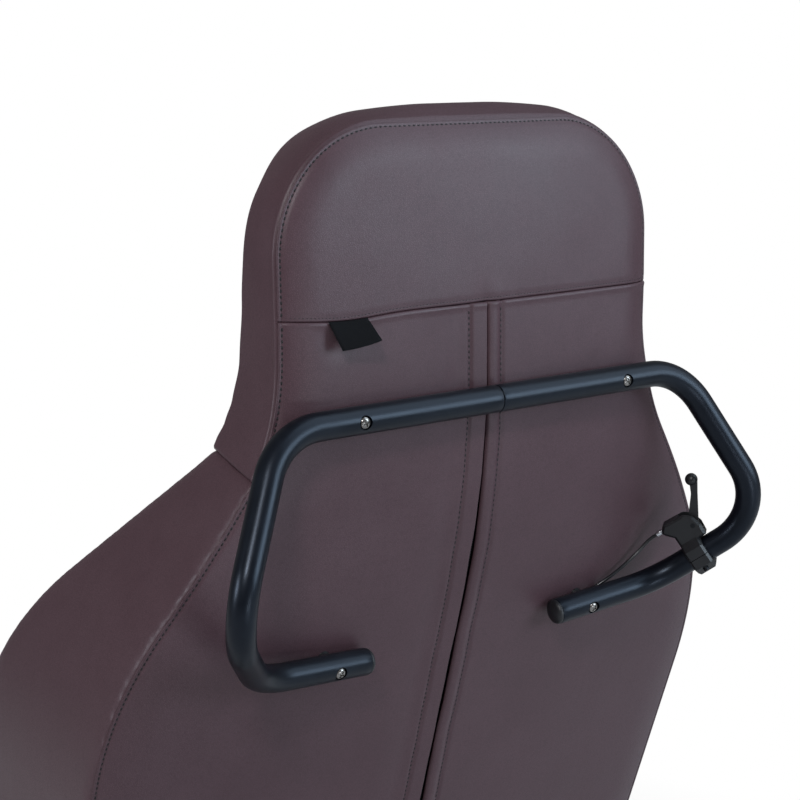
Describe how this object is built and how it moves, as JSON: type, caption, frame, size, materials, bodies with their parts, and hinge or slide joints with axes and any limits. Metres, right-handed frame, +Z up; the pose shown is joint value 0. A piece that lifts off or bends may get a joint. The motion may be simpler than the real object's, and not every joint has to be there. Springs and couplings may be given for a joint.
{
  "type": "tilt in space shell chair",
  "caption": "Upholstered care chair: padded shell back and arms on a castor base, tilting about a pivot under the seat, with a bent push handle, release lever, leg rest and footplate.",
  "frame": {"origin": "on the floor, under the middle of the chair's overall box", "axes": "+Z up, the occupant faces -Y, +X is the occupant's left"},
  "size_m": [0.72, 1.0349, 1.235],
  "materials": {
    "leatherette": "fine-grained semi-matte vinyl upholstery, dark aubergine brown",
    "powder_coat": "black textured powder coat",
    "bright_steel": "bright zinc plate",
    "black_plastic": "moulded, satin",
    "cable_black": "smooth sheath",
    "zip_tape": "woven zip tape",
    "plywood": "birch plywood, sealed",
    "cylinder_black": "gloss black",
    "tread_plate": "ribbed, dark coated",
    "castor_rubber": "grey tread on a grey nylon hub"
  },
  "bodies": {
    "base": {"base_rail_left": "powder_coat", "base_rail_right": "powder_coat", "base_cross_rails": "powder_coat", "base_end_caps": "black_plastic", "pivot_brackets": "powder_coat", "pivot_bolts": "bright_steel", "gas_bracket_lower": "powder_coat", "castor_housings": "bright_steel"},
    "shell": {"head_cover": "leatherette", "rear_cover_left": "leatherette", "rear_cover_right": "leatherette", "head_border": "leatherette", "back_cushion": "leatherette", "arm_left": "leatherette", "arm_right": "leatherette", "seat_cushion": "leatherette", "push_handle_left": "powder_coat", "push_handle_right": "powder_coat", "gas_bracket_upper": "powder_coat", "seat_rail_left": "powder_coat", "seat_rail_right": "powder_coat", "seat_cross_tubes": "powder_coat", "pivot_lugs": "powder_coat", "back_brackets": "powder_coat", "handle_screws": "bright_steel", "handle_spigot": "bright_steel", "tee_nuts": "bright_steel", "lever_clamp_screws": "bright_steel", "lever_pin": "bright_steel", "cable_ferrule": "bright_steel", "legrest_pins": "bright_steel", "handle_end_caps": "black_plastic", "handle_spacers": "black_plastic", "lever_clamp": "black_plastic", "lever_clamp_cap": "black_plastic", "cable_clips": "black_plastic", "pivot_bushes": "black_plastic", "tilt_cable": "cable_black", "cable_grommet": "cable_black", "rear_zip": "zip_tape", "back_board": "plywood", "arm_boards": "plywood", "seat_board": "plywood"},
    "lever": {"tilt_lever": "black_plastic"},
    "gas_cylinder": {"gas_cylinder": "cylinder_black"},
    "gas_rod": {"gas_rod": "bright_steel", "release_head": "black_plastic"},
    "legrest": {"legrest_frame": "powder_coat", "legrest_pad": "leatherette"},
    "footplate": {"footplate": "tread_plate"},
    "castor_front_left": {"castor_fork_front_left": "bright_steel"},
    "wheel_front_left": {"castor_wheel_front_left": "castor_rubber"},
    "castor_front_right": {"castor_fork_front_right": "bright_steel"},
    "wheel_front_right": {"castor_wheel_front_right": "castor_rubber"},
    "castor_rear_left": {"castor_fork_rear_left": "bright_steel"},
    "wheel_rear_left": {"castor_wheel_rear_left": "castor_rubber"},
    "castor_rear_right": {"castor_fork_rear_right": "bright_steel"},
    "wheel_rear_right": {"castor_wheel_rear_right": "castor_rubber"},
    "brake_left": {"brake_pedal_left": "black_plastic"},
    "brake_right": {"brake_pedal_right": "black_plastic"}
  },
  "joints": [
    {"name": "shell_tilt", "type": "hinge", "parent": "base", "child": "shell", "pos_m": [0, 0.06484, 0.318], "axis": [-1, 0, 0], "range_deg": [0, 25]},
    {"name": "gas_swing", "type": "hinge", "parent": "base", "child": "gas_cylinder", "pos_m": [0, -0.06016, 0.208], "axis": [-1, 0, 0], "range_deg": [-0.5, 13.5]},
    {"name": "gas_slide", "type": "slide", "parent": "gas_cylinder", "child": "gas_rod", "axis": [0, 0.9715, 0.2371], "range_m": [-0.0405, 0.001]},
    {"name": "lever_pull", "type": "hinge", "parent": "shell", "child": "lever", "pos_m": [-0.26163, 0.46285, 0.82981], "axis": [-0.7509, -0.6604, 0], "range_deg": [0, 25], "stiffness_Nm_per_rad": 0.5, "springref_deg": -11.46},
    {"name": "legrest_raise", "type": "hinge", "parent": "shell", "child": "legrest", "pos_m": [0, -0.22965, 0.37673], "axis": [-1, 0, 0], "range_deg": [0, 60]},
    {"name": "footplate_flip", "type": "hinge", "parent": "legrest", "child": "footplate", "pos_m": [0, -0.36747, 0.0891], "axis": [-1, 0, 0], "range_deg": [0, 98]},
    {"name": "castor_front_left_swivel", "type": "hinge", "parent": "base", "child": "castor_front_left", "pos_m": [0.255, -0.15516, 0.14], "axis": [0, 0, 1], "continuous": true},
    {"name": "wheel_front_left_spin", "type": "hinge", "parent": "castor_front_left", "child": "wheel_front_left", "pos_m": [0.255, -0.11716, 0.0625], "axis": [1, 0, 0], "continuous": true},
    {"name": "castor_front_right_swivel", "type": "hinge", "parent": "base", "child": "castor_front_right", "pos_m": [-0.255, -0.15516, 0.14], "axis": [0, 0, 1], "continuous": true},
    {"name": "wheel_front_right_spin", "type": "hinge", "parent": "castor_front_right", "child": "wheel_front_right", "pos_m": [-0.255, -0.11716, 0.0625], "axis": [1, 0, 0], "continuous": true},
    {"name": "castor_rear_left_swivel", "type": "hinge", "parent": "base", "child": "castor_rear_left", "pos_m": [0.255, 0.36484, 0.14], "axis": [0, 0, 1], "continuous": true},
    {"name": "wheel_rear_left_spin", "type": "hinge", "parent": "castor_rear_left", "child": "wheel_rear_left", "pos_m": [0.255, 0.40284, 0.0625], "axis": [1, 0, 0], "continuous": true},
    {"name": "castor_rear_right_swivel", "type": "hinge", "parent": "base", "child": "castor_rear_right", "pos_m": [-0.255, 0.36484, 0.14], "axis": [0, 0, 1], "continuous": true},
    {"name": "wheel_rear_right_spin", "type": "hinge", "parent": "castor_rear_right", "child": "wheel_rear_right", "pos_m": [-0.255, 0.40284, 0.0625], "axis": [1, 0, 0], "continuous": true},
    {"name": "brake_left_press", "type": "hinge", "parent": "castor_rear_left", "child": "brake_left", "pos_m": [0.255, 0.44944, 0.11804], "axis": [-1, 0, 0], "range_deg": [0, 12]},
    {"name": "brake_right_press", "type": "hinge", "parent": "castor_rear_right", "child": "brake_right", "pos_m": [-0.255, 0.44944, 0.11804], "axis": [-1, 0, 0], "range_deg": [0, 12]}
  ],
  "couplings": [
    {"joint": "gas_swing", "follows": "shell_tilt", "ratio": 0.5157},
    {"joint": "gas_slide", "follows": "shell_tilt", "m_per_rad": -0.090467}
  ]
}
